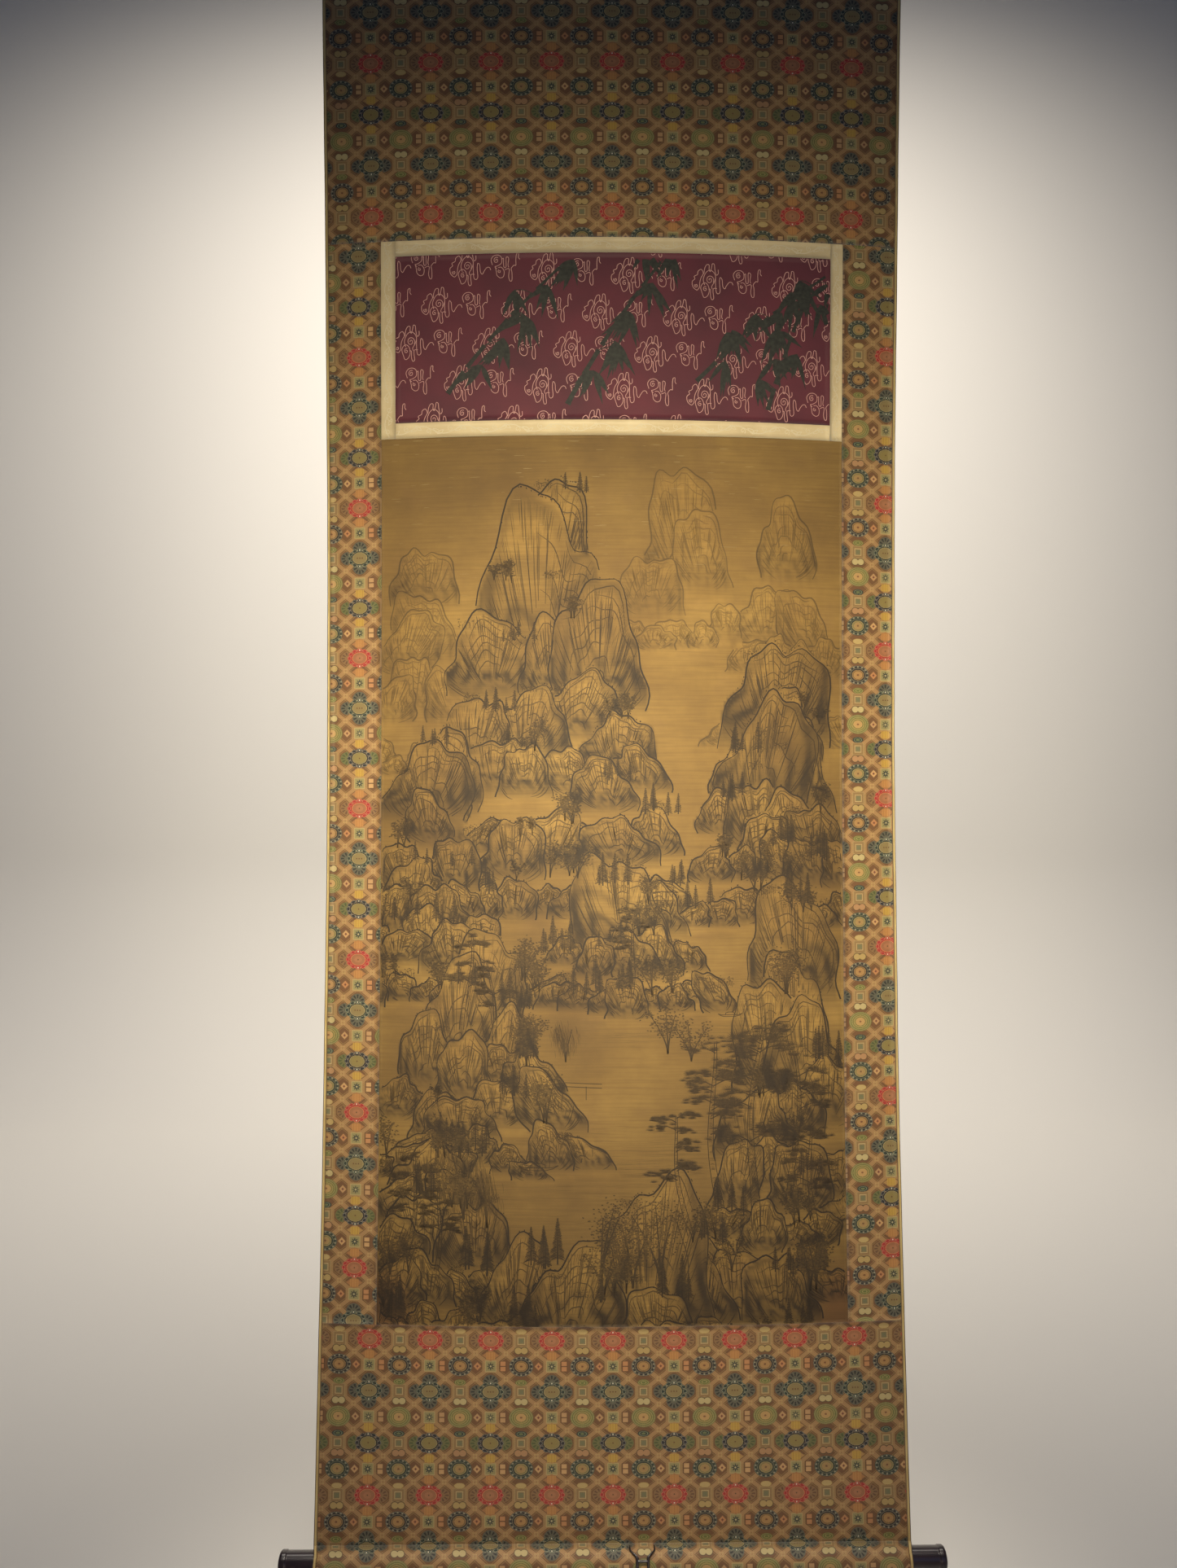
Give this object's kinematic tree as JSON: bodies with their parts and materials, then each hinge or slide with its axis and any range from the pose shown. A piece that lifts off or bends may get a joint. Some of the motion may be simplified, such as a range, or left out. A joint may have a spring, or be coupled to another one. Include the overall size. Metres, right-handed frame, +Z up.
{
  "type": "chinese hanging scroll with roller",
  "caption": "Long mounted silk painting with an inscription panel, brocade surround and narrow edgings, hanging in a shallow curve above a cloth-wrapped wooden roller with dark turned knobs.",
  "frame": {"origin": "middle of the scroll's top edge, at its front face", "axes": "+Z up along the hanging scroll, +X to the right of someone who looks at the painted face, painted face towards -Y"},
  "size_m": [0.8306, 0.0744, 2.1387],
  "materials": {
    "brocade": "figured silk brocade with a small lattice pattern, semi-matt",
    "damask": "cream silk damask with a tone-on-tone vine",
    "cloud_silk": "purple-red silk with pale outlined clouds",
    "painting_silk": "aged brown-gold painting silk with ink washes, faint cross cracks",
    "edging": "plain beige silk strip",
    "rod_wood": "plain turned softwood",
    "knob_wood": "near-black plum-brown hardwood, polished",
    "fork_metal": "dark brown enamelled wire"
  },
  "bodies": {
    "root": {"top_panel": "brocade", "left_strip": "brocade", "right_strip": "brocade", "bottom_panel": "brocade", "border_top": "damask", "border_bottom": "damask", "border_left": "damask", "border_right": "damask", "inscription_silk": "cloud_silk", "painting_silk": "painting_silk", "left_edging": "edging", "right_edging": "edging", "roller_rod": "rod_wood", "left_knob": "knob_wood", "right_knob": "knob_wood", "roller_fork": "fork_metal"}
  },
  "joints": []
}
